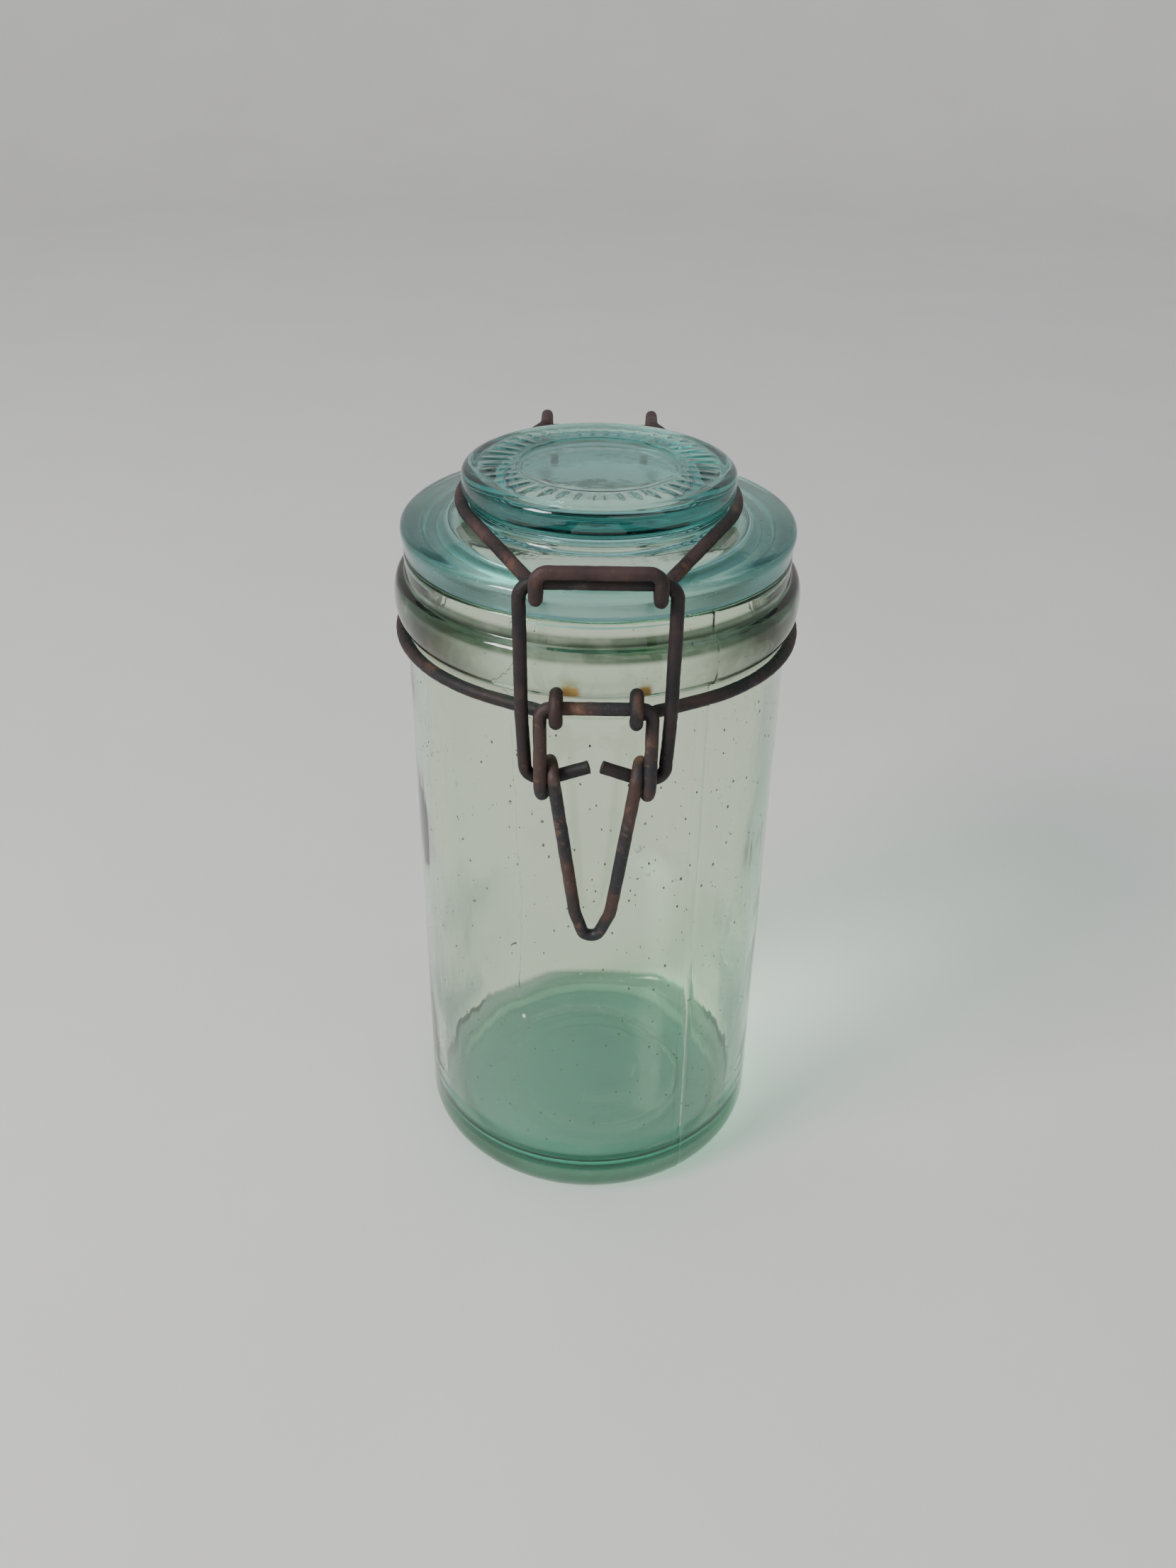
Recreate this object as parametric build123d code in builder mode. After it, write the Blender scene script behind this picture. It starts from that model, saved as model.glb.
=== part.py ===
"""A one-litre preserving jar in pressed glass: jar, glass lid and a sprung wire closure.

The origin is the middle of the base, +Z is up and the latch is on the -Y side.
The closure is four bent wires: a neck ring that also forms the rear hinge bar, a bail
that holds the lid by its knob, a latch lever and the link that the lever pulls down.
Sizes are in millimetres.
"""

from build123d import *
import math
import os

# --- jar ---------------------------------------------------------------------------
BODY_R = 47.3
HEEL_R = 9.0
BASE_T = 9.5
BORE_R = 43.6
BORE_HEEL_R = 5
MOUTH_R = 42.3
GROOVE_R = 46.9
GROOVE_Z = 158.2
GROOVE_HALF = 1.8
COLLAR_R = 50.0
COLLAR_FOOT_R = 48.4
COLLAR_FOOT_Z = 161.3
COLLAR_Z = 167.8
COLLAR_TOP_Z = 172.4
LIP_R = 47.25
LIP_FOOT_Z = 173.3
LIP_Z = 179.0
LIP_EDGE = 0.8

# --- lid ---------------------------------------------------------------------------
SEAM_GAP = 0.3
LID_Z = LIP_Z + SEAM_GAP
LID_RIM_R = 41.3
LID_RIM_INNER_R = 37.0
LID_RIM_DEPTH = 4.2
FLANGE_FOOT_R = 47.2
FLANGE_R = 47.85
FLANGE_WIDEST_Z = 184.4
SHOULDER_R = 44.7
SHOULDER_Z = 186.2
WAIST_FOOT_Z = 188.3
WAIST_R = 31.2
DISC_UNDER_Z = 192.6
DISC_R = 32.8
DISC_Z = 198.9
DISC_EDGE_R = 1.3
DISH_R = 18.4
DISH_DEPTH = 0.5
DOME_Z = 183.2
DOME_R = 35.0
KNOB_BORE_R = 24.0
KNOB_BORE_Z = 191.0

# --- wire closure ------------------------------------------------------------------
WIRE_R = 1.55
RING_R = 48.6
EYE_X = 8.8
EYE_R = WIRE_R * 2 + 0.08
PIVOT_Y, PIVOT_Z = -53.6, 161.7
EYE_BEND = 3.0
LEVER_HALF = 12.4
LEVER_BUTT = 0.05
LEVER_BEND = 2.4
COIL_Y, COIL_Z = -53.0, 143.7
COIL_R = 3.7
COIL_OUTER_X = 12.5
COIL_INNER_X = 9.0
HANDLE_X, HANDLE_Y, HANDLE_Z = -0.6, -50.2, 92.5
HANDLE_BEND = 2.3
HANDLE_KNEE_X, HANDLE_KNEE_Z = 4.3, 105.0
HANDLE_KNEE_BEND = 12.0
LINK_HALF_TOP = 16.65
LINK_HALF_FOOT = 15.6
LINK_KNEE_X, LINK_KNEE_Z = 16.4, 160.0
LINK_KNEE_BEND = 30.0
LINK_Y, LINK_Z = -53.6, 191.3
LINK_TOP_BEND = 3.6
LINK_FOOT_BEND = 3.2
STUB_BEND_X = 9.8
STUB_END_X = 1.45
STUB_RISE = math.tan(math.radians(19))
BAIL_R = 33.0
BAIL_Z = 190.5
BAIL_CORNER_X = 36.4
HOOK_X = 13.0
HOOK_Y = -50.0
HOOK_Z = 187.5
HOOK_ENTRY_Z = 188.2
LIP_BAR_Y, LIP_BAR_Z = -57.1, 195.0
HOOK_BEND = 3.2
LIP_BAR_BEND = 2.6
HINGE_Y, HINGE_Z = 55.5, 188.9
HINGE_HALF = 18.1
HINGE_BEND = 2.1
LID_EYE_X = 14.2
LID_EYE_R = 3.8
LID_EYE_ENTRY_Y = 47.3
UPRIGHT_X, UPRIGHT_Y = 14.5, 48.5
UPRIGHT_BEND = 3.0

COIL_SLACK = 0.97  # bend radius over coil radius, so a short straight stays between bends


def mirrored(corners):
    """Return the same wire corners on the other side of the YZ plane, in reverse order."""
    return [(-x, y, z, bend) for x, y, z, bend in reversed(corners)]


def coil(centre_y, centre_z, radius, start, turn, start_x, end_x, bends):
    """Corners of a wire wound about an X axis; angles in degrees, 0 is +Y and 90 is +Z."""
    step = turn / bends
    reach = radius / math.cos(math.radians(step / 2))
    corners = []
    for i in range(bends):
        share = (i + 0.5) / bends
        angle = math.radians(start + turn * share)
        x = start_x + (end_x - start_x) * share
        y = centre_y + reach * math.cos(angle)
        z = centre_z + reach * math.sin(angle)
        corners.append((x, y, z, radius * COIL_SLACK))
    return corners


def bent_line(corners):
    """Straight runs joined by tangent arcs; each corner is (x, y, z, bend radius)."""
    points = [corner[:3] for corner in corners]
    bends = [corner[3] for corner in corners[1:-1]]
    FilletPolyline(*points, radius=bends)


def draw_wire(route):
    """Sweep the round wire along a finished route inside the current part."""
    path = route.wires()[0]
    with BuildSketch(Plane(origin=path @ 0, z_dir=path % 0)) as section:
        Circle(WIRE_R)
    sweep(sections=section.sketch, path=path)


def tangent_point(corner_x, corner_y, radius):
    """Where a line through the corner touches the circle about Z, on the wide side."""
    bearing = math.atan2(corner_x, abs(corner_y))
    spread = math.acos(radius / math.hypot(corner_x, corner_y))
    angle = bearing + spread
    return radius * math.sin(angle), math.copysign(radius * math.cos(angle), corner_y)


# --- jar ---------------------------------------------------------------------------
with BuildPart() as jar:
    with BuildSketch(Plane.XZ):
        with BuildLine():
            Line((0, 0), (BODY_R - HEEL_R, 0))
            RadiusArc((BODY_R - HEEL_R, 0), (BODY_R, HEEL_R), -HEEL_R)
            Line((BODY_R, HEEL_R), (BODY_R, GROOVE_Z - GROOVE_HALF - 1.2))
            Spline(
                (BODY_R, GROOVE_Z - GROOVE_HALF - 1.2),
                (GROOVE_R, GROOVE_Z - GROOVE_HALF),
                tangents=[(0, 1), (0, 1)],
            )
            Line((GROOVE_R, GROOVE_Z - GROOVE_HALF), (GROOVE_R, GROOVE_Z + GROOVE_HALF))
            Line((GROOVE_R, GROOVE_Z + GROOVE_HALF), (COLLAR_FOOT_R, COLLAR_FOOT_Z))
            Spline(
                (COLLAR_FOOT_R, COLLAR_FOOT_Z),
                (COLLAR_R, COLLAR_Z),
                (COLLAR_R - 1.2, COLLAR_TOP_Z),
                (LIP_R, LIP_FOOT_Z),
            )
            Line((LIP_R, LIP_FOOT_Z), (LIP_R, LIP_Z - LIP_EDGE))
            RadiusArc((LIP_R, LIP_Z - LIP_EDGE), (LIP_R - LIP_EDGE, LIP_Z), -LIP_EDGE)
            Line((LIP_R - LIP_EDGE, LIP_Z), (MOUTH_R + LIP_EDGE, LIP_Z))
            RadiusArc((MOUTH_R + LIP_EDGE, LIP_Z), (MOUTH_R, LIP_Z - LIP_EDGE), -LIP_EDGE)
            Line((MOUTH_R, LIP_Z - LIP_EDGE), (MOUTH_R, LIP_FOOT_Z - 2))
            Spline(
                (MOUTH_R, LIP_FOOT_Z - 2),
                (BORE_R, GROOVE_Z - 8),
                tangents=[(0, -1), (0, -1)],
            )
            Line((BORE_R, GROOVE_Z - 8), (BORE_R, BASE_T + BORE_HEEL_R))
            RadiusArc(
                (BORE_R, BASE_T + BORE_HEEL_R), (BORE_R - BORE_HEEL_R, BASE_T), BORE_HEEL_R
            )
            Line((BORE_R - BORE_HEEL_R, BASE_T), (0, BASE_T))
            Line((0, BASE_T), (0, 0))
        make_face()
    revolve(axis=Axis.Z)

# --- lid ---------------------------------------------------------------------------
with BuildPart() as lid:
    with BuildSketch(Plane.XZ):
        with BuildLine():
            Line((0, KNOB_BORE_Z), (KNOB_BORE_R - 5, KNOB_BORE_Z))
            ThreePointArc(
                (KNOB_BORE_R - 5, KNOB_BORE_Z),
                (KNOB_BORE_R - 1.46, KNOB_BORE_Z - 1.46),
                (KNOB_BORE_R, KNOB_BORE_Z - 5),
            )
            Spline(
                (KNOB_BORE_R, KNOB_BORE_Z - 5),
                (DOME_R, DOME_Z),
                tangents=[(0, -1), (1, -0.25)],
            )
            Spline(
                (DOME_R, DOME_Z),
                (LID_RIM_INNER_R, LID_Z - 1),
                tangents=[(1, -0.25), (0, -1)],
            )
            Line((LID_RIM_INNER_R, LID_Z - 1), (LID_RIM_INNER_R + 0.6, LID_Z - LID_RIM_DEPTH))
            Line(
                (LID_RIM_INNER_R + 0.6, LID_Z - LID_RIM_DEPTH),
                (LID_RIM_R - 0.6, LID_Z - LID_RIM_DEPTH),
            )
            Line((LID_RIM_R - 0.6, LID_Z - LID_RIM_DEPTH), (LID_RIM_R, LID_Z))
            Line((LID_RIM_R, LID_Z), (FLANGE_FOOT_R - 0.5, LID_Z))
            RadiusArc((FLANGE_FOOT_R - 0.5, LID_Z), (FLANGE_FOOT_R, LID_Z + 0.5), -0.5)
            Spline(
                (FLANGE_FOOT_R, LID_Z + 0.5),
                (FLANGE_R, FLANGE_WIDEST_Z),
                (SHOULDER_R, SHOULDER_Z),
                tangents=[(0.1, 1), (-1, 0.25)],
            )
            Spline(
                (SHOULDER_R, SHOULDER_Z),
                (WAIST_R + 1.4, WAIST_FOOT_Z - 0.1),
                tangents=[(-1, 0.25), (-1, 0.12)],
            )
            Spline(
                (WAIST_R + 1.4, WAIST_FOOT_Z - 0.1),
                (WAIST_R, WAIST_FOOT_Z + 1.6),
                (WAIST_R + 0.9, DISC_UNDER_Z),
                tangents=[(-1, 0.12), (1, 0.3)],
            )
            Line((WAIST_R + 0.9, DISC_UNDER_Z), (DISC_R - 0.3, DISC_UNDER_Z + 0.2))
            Line((DISC_R - 0.3, DISC_UNDER_Z + 0.2), (DISC_R, DISC_UNDER_Z + 0.9))
            Line((DISC_R, DISC_UNDER_Z + 0.9), (DISC_R, DISC_Z - DISC_EDGE_R))
            RadiusArc(
                (DISC_R, DISC_Z - DISC_EDGE_R), (DISC_R - DISC_EDGE_R, DISC_Z), -DISC_EDGE_R
            )
            Line((DISC_R - DISC_EDGE_R, DISC_Z), (DISH_R + 1.2, DISC_Z))
            Spline(
                (DISH_R + 1.2, DISC_Z),
                (DISH_R, DISC_Z - DISH_DEPTH),
                tangents=[(-1, 0), (-1, 0)],
            )
            Line((DISH_R, DISC_Z - DISH_DEPTH), (0, DISC_Z - DISH_DEPTH))
            Line((0, DISC_Z - DISH_DEPTH), (0, KNOB_BORE_Z))
        make_face()
    revolve(axis=Axis.Z)

# --- neck ring: clamps the neck, with latch eyes in front and the hinge bar behind ----
front_x, front_y = tangent_point(EYE_X, PIVOT_Y + EYE_R, RING_R)
rear_x, rear_y = tangent_point(UPRIGHT_X, UPRIGHT_Y, RING_R)
front_eye = [
    (front_x, front_y, GROOVE_Z, 0),
    (EYE_X, PIVOT_Y + EYE_R, GROOVE_Z, EYE_BEND),
    *coil(PIVOT_Y, PIVOT_Z, EYE_R, 0, 270, EYE_X, EYE_X, 4),
    (EYE_X, PIVOT_Y + 0.6, PIVOT_Z - EYE_R, 0),
]
hinge_side = [
    (rear_x, rear_y, GROOVE_Z, 0),
    (UPRIGHT_X, UPRIGHT_Y, GROOVE_Z, UPRIGHT_BEND),
    (HINGE_HALF, HINGE_Y, HINGE_Z, HINGE_BEND),
]
with BuildPart() as neck_ring:
    with BuildLine() as ring_route:
        bent_line(mirrored(front_eye))
        ThreePointArc((-front_x, front_y, GROOVE_Z), (-RING_R, 0, GROOVE_Z), (-rear_x, rear_y, GROOVE_Z))
        bent_line([*[(-x, y, z, b) for x, y, z, b in hinge_side], *reversed(hinge_side)])
        ThreePointArc((rear_x, rear_y, GROOVE_Z), (RING_R, 0, GROOVE_Z), (front_x, front_y, GROOVE_Z))
        bent_line(front_eye)
    draw_wire(ring_route)

# --- lever: pivot bar in the ring's eyes, arms, a coil for the link and the V handle --
arm_lean = math.asin(COIL_R / math.hypot(COIL_Y - PIVOT_Y, COIL_Z - PIVOT_Z))
arm_lean += math.atan2(PIVOT_Y - COIL_Y, PIVOT_Z - COIL_Z)
handle_lean = math.atan2(HANDLE_Y - COIL_Y + COIL_R, COIL_Z - HANDLE_Z)
coil_start = 180 - math.degrees(arm_lean)
coil_turn = 360 + math.degrees(arm_lean + handle_lean)
handle_knee_y = HANDLE_Y - (HANDLE_KNEE_Z - HANDLE_Z) * math.tan(handle_lean)
lever_side = [
    (LEVER_BUTT, PIVOT_Y, PIVOT_Z, 0),
    (LEVER_HALF, PIVOT_Y, PIVOT_Z, LEVER_BEND),
    *coil(COIL_Y, COIL_Z, COIL_R, coil_start, coil_turn, COIL_OUTER_X, COIL_INNER_X, 6),
    (HANDLE_KNEE_X, handle_knee_y, HANDLE_KNEE_Z, HANDLE_KNEE_BEND),
]
handle_foot = [(HANDLE_X, HANDLE_Y, HANDLE_Z, HANDLE_BEND)]
with BuildPart() as lever:
    with BuildLine() as lever_route:
        bent_line([*lever_side, *handle_foot, *mirrored(lever_side)])
    draw_wire(lever_route)

# --- link: top bar in the bail's hooks, feet turned in as pins for the lever's coils --
link_knee_y = COIL_Y + (LINK_Y - COIL_Y) * (LINK_KNEE_Z - COIL_Z) / (LINK_Z - COIL_Z)
link_side = [
    (STUB_END_X, COIL_Y, COIL_Z + (STUB_BEND_X - STUB_END_X) * STUB_RISE, 0),
    (STUB_BEND_X, COIL_Y, COIL_Z, 3.0),
    (LINK_HALF_FOOT, COIL_Y, COIL_Z, LINK_FOOT_BEND),
    (LINK_KNEE_X, link_knee_y, LINK_KNEE_Z, LINK_KNEE_BEND),
    (LINK_HALF_TOP, LINK_Y, LINK_Z, LINK_TOP_BEND),
]
with BuildPart() as link:
    with BuildLine() as link_route:
        bent_line([*link_side, *mirrored(link_side)])
    draw_wire(link_route)

# --- bail: holds the lid by the knob's waist, hooked in front and hinged behind -------
bail_side = [
    (LID_EYE_X, HINGE_Y - LID_EYE_R, HINGE_Z + 0.6, 0),
    *reversed(coil(HINGE_Y, HINGE_Z, LID_EYE_R, 90, -270, LID_EYE_X, LID_EYE_X, 4)),
    (LID_EYE_X, LID_EYE_ENTRY_Y, HINGE_Z + LID_EYE_R, 9.0),
    (BAIL_CORNER_X, 0, BAIL_Z, BAIL_R),
    (HOOK_X, HOOK_Y, HOOK_ENTRY_Z, 4.0),
    (HOOK_X, LIP_BAR_Y, HOOK_Z, HOOK_BEND),
    (HOOK_X, LIP_BAR_Y, LIP_BAR_Z, LIP_BAR_BEND),
]
with BuildPart() as bail:
    with BuildLine() as bail_route:
        bent_line([*bail_side, *mirrored(bail_side)])
    draw_wire(bail_route)

os.makedirs("parts", exist_ok=True)
jar.part.label = "jar"
export_step(jar.part, "parts/jar.step")
lid.part.label = "lid"
export_step(lid.part, "parts/lid.step")
neck_ring.part.label = "neck_ring"
export_step(neck_ring.part, "parts/neck_ring.step")
lever.part.label = "lever"
export_step(lever.part, "parts/lever.step")
link.part.label = "link"
export_step(link.part, "parts/link.step")
bail.part.label = "bail"
export_step(bail.part, "parts/bail.step")
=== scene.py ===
"""Looks for a clamp-lid glass jar: old aqua glass, a heavy pressed lid and rusty bent wire."""

import math

import bmesh
import bpy
from mathutils import Matrix, Vector, noise


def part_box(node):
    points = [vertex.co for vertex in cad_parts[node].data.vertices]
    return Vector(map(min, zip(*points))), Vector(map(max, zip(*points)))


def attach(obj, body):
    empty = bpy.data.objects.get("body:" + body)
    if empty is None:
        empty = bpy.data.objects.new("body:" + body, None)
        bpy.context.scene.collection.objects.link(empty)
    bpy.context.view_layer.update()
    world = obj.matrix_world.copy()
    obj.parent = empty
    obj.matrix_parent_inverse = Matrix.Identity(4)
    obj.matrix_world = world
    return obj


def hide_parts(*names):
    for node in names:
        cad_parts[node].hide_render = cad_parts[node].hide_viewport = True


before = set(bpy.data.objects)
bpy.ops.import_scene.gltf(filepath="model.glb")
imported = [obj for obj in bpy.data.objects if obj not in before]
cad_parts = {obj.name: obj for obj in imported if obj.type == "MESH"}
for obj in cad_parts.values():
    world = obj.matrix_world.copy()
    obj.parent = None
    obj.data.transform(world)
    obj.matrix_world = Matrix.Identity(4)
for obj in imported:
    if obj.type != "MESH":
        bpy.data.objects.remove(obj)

bl_info = {
    "name": "Clamp-lid glass jar",
    "version": (1, 0, 0),
    "blender": (4, 5, 0),
    "location": "View3D > Sidebar > Glass jar",
    "description": "Builds an old preserving jar with its glass lid and wire closure",
    "category": "Add Mesh",
}

MM = 0.001
JAR_BODY, LID_BODY, LEVER_BODY, LINK_BODY = "jar_body", "lid_body", "lever_body", "link_body"
LID_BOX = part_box("lid")
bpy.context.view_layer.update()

# --- sizes of the glass, in millimetres -------------------------------------------------
BODY_R = 47.3
BORE_R = 43.6
MOUTH_R = 42.3
COLLAR_R = 50.0
LIP_R = 47.25
LIP_Z = 179.0
HEEL_R = 9.0
BASE_T = 9.5
BORE_HEEL_R = 5.0
GROOVE_R = 46.9
GROOVE_Z = 158.2
BASE_SEAM_Z = 19.0
NECK_SEAM_Z = 155.3
SEAM_ANGLE = -57.0
SEAMS = (SEAM_ANGLE, SEAM_ANGLE + 180)
SCAR_X, SCAR_Y, SCAR_R = 3.5, -3.0, 24.0
WALL_MIDDLE_Z = 82.0
# Raised rings round the outside: height, rise and half width.
RIDGES = ((BASE_SEAM_Z, 0.14, 0.8), (9.4, 0.16, 0.6), (NECK_SEAM_Z, 0.16, 0.6))

LID_Z = 179.3
DISC_R = 32.8
DISC_Z = 198.9
DISH_R = 18.4
DISC_RIB_IN = 20.6
DISC_RIB_OUT = 28.2
DISC_RIBS = 40
DISC_RIB_RISE = 0.22

# --- sizes of the wire closure, in millimetres ------------------------------------------
WIRE_R = 1.55
RING_R = 48.6
EYE_X = 8.8
EYE_R = WIRE_R * 2 + 0.08
EYE_BEND = 3.0
PIVOT_Y, PIVOT_Z = -53.6, 161.7
LEVER_HALF = 12.4
LEVER_BUTT = -0.05
LEVER_BEND = 2.4
COIL_Y, COIL_Z = -53.0, 143.7
COIL_R = 3.7
COIL_OUTER_X = 12.5
COIL_INNER_X = 9.0
HANDLE_X, HANDLE_Y, HANDLE_Z = -0.6, -50.2, 92.5
HANDLE_BEND = 2.3
HANDLE_KNEE_X, HANDLE_KNEE_Z = 4.3, 105.0
HANDLE_KNEE_BEND = 12.0
LINK_HALF_TOP = 16.65
LINK_HALF_FOOT = 15.6
LINK_KNEE_X, LINK_KNEE_Z = 16.4, 160.0
LINK_KNEE_BEND = 30.0
LINK_Y, LINK_Z = -53.6, 191.3
LINK_TOP_BEND = 3.6
LINK_FOOT_BEND = 3.2
STUB_BEND_X = 9.8
STUB_END_X = 1.45
STUB_BEND = 3.0
STUB_RISE = math.tan(math.radians(19))
BAIL_R = 33.0
BAIL_Z = 190.5
BAIL_CORNER_X = 36.4
HOOK_X = 13.0
HOOK_Y = -50.0
HOOK_Z = 187.5
HOOK_ENTRY_Z = 188.2
LIP_BAR_Y, LIP_BAR_Z = -57.1, 195.0
HOOK_ENTRY_BEND = 4.0
HOOK_BEND = 3.2
LIP_BAR_BEND = 2.6
HINGE_Y, HINGE_Z = 55.5, 188.9
HINGE_HALF = 18.1
HINGE_BEND = 2.1
LID_EYE_X = 14.2
LID_EYE_R = 3.8
LID_EYE_ENTRY_Y = 47.3
LID_EYE_ENTRY_BEND = 9.0
UPRIGHT_X, UPRIGHT_Y = 14.5, 48.5
UPRIGHT_BEND = 3.0
COIL_SLACK = 0.97


# --- Shader maths -----------------------------------------------------------------------
class Value:
    """A shader socket that takes part in Python expressions."""

    def __init__(self, graph, socket):
        self.graph = graph
        self.socket = socket

    def maths(self, operation, first, second=None):
        values = {0: first}
        if second is not None:
            values[1] = second
        return self.graph.node("ShaderNodeMath", {"operation": operation}, values)

    def __add__(self, other):
        return self.maths("ADD", self, other)

    def __radd__(self, other):
        return self.maths("ADD", other, self)

    def __sub__(self, other):
        return self.maths("SUBTRACT", self, other)

    def __rsub__(self, other):
        return self.maths("SUBTRACT", other, self)

    def __mul__(self, other):
        return self.maths("MULTIPLY", self, other)

    def __rmul__(self, other):
        return self.maths("MULTIPLY", other, self)

    def __pow__(self, other):
        return self.maths("POWER", self, other)

    def absolute(self):
        return self.maths("ABSOLUTE", self)

    def clamp(self):
        return self.graph.node(
            "ShaderNodeClamp", {}, {"Value": self, "Min": 0.0, "Max": 1.0}
        )


class Graph:
    """The node tree of one material."""

    def __init__(self, name):
        self.material = bpy.data.materials.new(name)
        self.material.use_nodes = True
        self.tree = self.material.node_tree
        self.tree.nodes.clear()
        self.coords = None

    def node(self, kind, settings, inputs, output=0):
        made = self.tree.nodes.new(kind)
        for key, value in settings.items():
            setattr(made, key, value)
        for key, value in inputs.items():
            socket = made.inputs[key]
            if isinstance(value, Value):
                self.tree.links.new(value.socket, socket)
            else:
                socket.default_value = value
        return Value(self, made.outputs[output])

    def coordinates(self):
        """The Object coordinates, shared by everything in the tree."""
        if self.coords is None:
            self.coords = self.node("ShaderNodeTexCoord", {}, {}, "Object")
        return self.coords

    def axis(self, letter):
        return self.node("ShaderNodeSeparateXYZ", {}, {"Vector": self.coordinates()}, letter)

    def polar(self):
        """The three axes, in metres, and the distance from the jar's own axis."""
        x, y, z = (self.axis(letter) for letter in "XYZ")
        return x, y, z, (x * x + y * y) ** 0.5

    def noise(self, scale, detail=3.0, rough=0.55, where=None):
        return self.node(
            "ShaderNodeTexNoise",
            {},
            {
                "Vector": where or self.coordinates(),
                "Scale": scale,
                "Detail": detail,
                "Roughness": rough,
            },
            "Fac",
        )

    def stretched(self, x, y, z):
        """Object coordinates scaled by axis, so that a pattern runs along one of them."""
        return self.node(
            "ShaderNodeMapping", {}, {"Vector": self.coordinates(), "Scale": (x, y, z)}
        )

    def step(self, value, low, high):
        """0 below low, 1 above high, smooth between."""
        return self.node(
            "ShaderNodeMapRange",
            {"interpolation_type": "SMOOTHSTEP"},
            {"Value": value, "From Min": low, "From Max": high},
        )

    def between(self, value, low, rise, fall, high):
        """1 from rise to fall, 0 below low and above high."""
        return self.step(value, low, rise) * (1 - self.step(value, fall, high))

    def blend(self, factor, first, second):
        """A colour from first, where factor is 0, to second."""
        made = self.tree.nodes.new("ShaderNodeMix")
        made.data_type = "RGBA"
        sockets = [s for s in made.inputs if s.type == "RGBA"]
        self.tree.links.new(factor.socket, made.inputs[0])
        for socket, value in zip(sockets, (first, second)):
            if isinstance(value, Value):
                self.tree.links.new(value.socket, socket)
            else:
                socket.default_value = (*value[:3], 1.0)
        return Value(self, next(s for s in made.outputs if s.type == "RGBA"))

    def bump(self, height, strength, distance):
        return self.node(
            "ShaderNodeBump",
            {},
            {"Height": height, "Strength": strength, "Distance": distance},
            "Normal",
        )

    def clear_to_lamps(self, surface, tint):
        """The surface as seen, which lets a lamp's shadow rays through with a tint."""
        through = self.node("ShaderNodeBsdfTransparent", {}, {"Color": (*tint, 1.0)})
        lamp_ray = self.node("ShaderNodeLightPath", {}, {}, "Is Shadow Ray")
        return self.node("ShaderNodeMixShader", {}, {0: lamp_ray, 1: surface, 2: through})

    def finish(self, surface, volume=None):
        out = self.tree.nodes.new("ShaderNodeOutputMaterial")
        self.tree.links.new(surface.socket, out.inputs["Surface"])
        if volume is not None:
            self.tree.links.new(volume.socket, out.inputs["Volume"])
        return self.material


# --- Materials --------------------------------------------------------------------------
GLASS_IOR = 1.52
SEAT_BLUR = 0.3
# What a lamp's light keeps when it passes through the glass.
JAR_SHADE = (0.86, 0.89, 0.87)
LID_SHADE = (0.80, 0.905, 0.88)
# Heights and reaches in the shaders are in metres, as they read them.
GREEN_FOOT_TOP = (0.0118, 0.0142)
# Middle and reach of each stain along X.
EYE_STAINS = ((-0.0058, 0.0030), (0.0106, 0.0022))
EYE_STAIN_Z = 0.1631


def old_glass(name, settings, tint, seat, shade_tint, stained):
    """Clear aqua glass: its colour comes from its depth and from tints over its surface, some of
    which are painted shade and light; its surface is a little wavy.
    """
    g = Graph(name)
    waves = g.noise(28.0, 2.0, 0.45)
    streaks = g.noise(120.0, 3.0, 0.5, g.stretched(1.0, 1.0, 0.22))
    pits = g.step(g.noise(900.0, 2.0, 0.5), 0.72, 0.78)
    height = waves * settings.wave + streaks * (settings.wave * 0.22) - pits * 0.12
    normal = g.bump(height, 0.32, 0.0011)
    haze = g.step(g.noise(60.0, 4.0, 0.62), 0.52, 0.8)
    rough = settings.blur + haze * settings.haze + pits * 0.12 + seat(g) * SEAT_BLUR
    clear = g.node(
        "ShaderNodeBsdfPrincipled",
        {},
        {
            "Base Color": tint(g, settings),
            "Roughness": rough,
            "IOR": GLASS_IOR,
            "Transmission Weight": 1.0,
            "Normal": normal,
        },
    )
    surface = clear
    if stained:
        dirt = g.node(
            "ShaderNodeBsdfPrincipled", {}, {"Base Color": stain_colour(g), "Roughness": 0.8}
        )
        surface = g.node(
            "ShaderNodeMixShader", {}, {0: stain_mask(g, settings), 1: clear, 2: dirt}
        )
    surface = g.clear_to_lamps(surface, shade_tint)
    volume = g.node(
        "ShaderNodeVolumeAbsorption",
        {},
        {"Color": (*settings.depth_colour, 1.0), "Density": settings.depth_density},
    )
    return g.finish(surface, volume)


def stain_colour(g):
    """Dark rust to yellow."""
    return g.blend(g.noise(300.0, 3.0), (0.36, 0.22, 0.06), (0.72, 0.48, 0.16))


def jar_tint(g, settings):
    """The jar's colour, from the foot up."""
    tint = foot_tint(g, settings)
    tint = wall_tint(g, settings, tint)
    return neck_tint(g, settings, tint)


def foot_tint(g, settings):
    """A streaky green floor with a faint ring scar, a darker heel and pale walls above."""
    x, y, z, radius = g.polar()
    scar = ((x - SCAR_X * MM) ** 2 + (y - SCAR_Y * MM) ** 2) ** 0.5 - SCAR_R * MM
    line = (1 - g.step(scar.absolute(), 0.0002, 0.0012)) * g.step(x + y * 0.7, -0.014, 0.02)
    streaks = g.step(g.noise(70.0, 4.0, 0.6, g.stretched(0.5, 1.8, 1.0)), 0.50, 0.72)
    tint = g.blend((line * 0.4 + streaks * 0.16).clamp(), settings.heavy, settings.heel)
    tint = g.blend(g.step(radius, 0.0368, 0.0392), tint, settings.heel)
    return g.blend(g.step(z, *GREEN_FOOT_TOP), tint, settings.thin)


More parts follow.
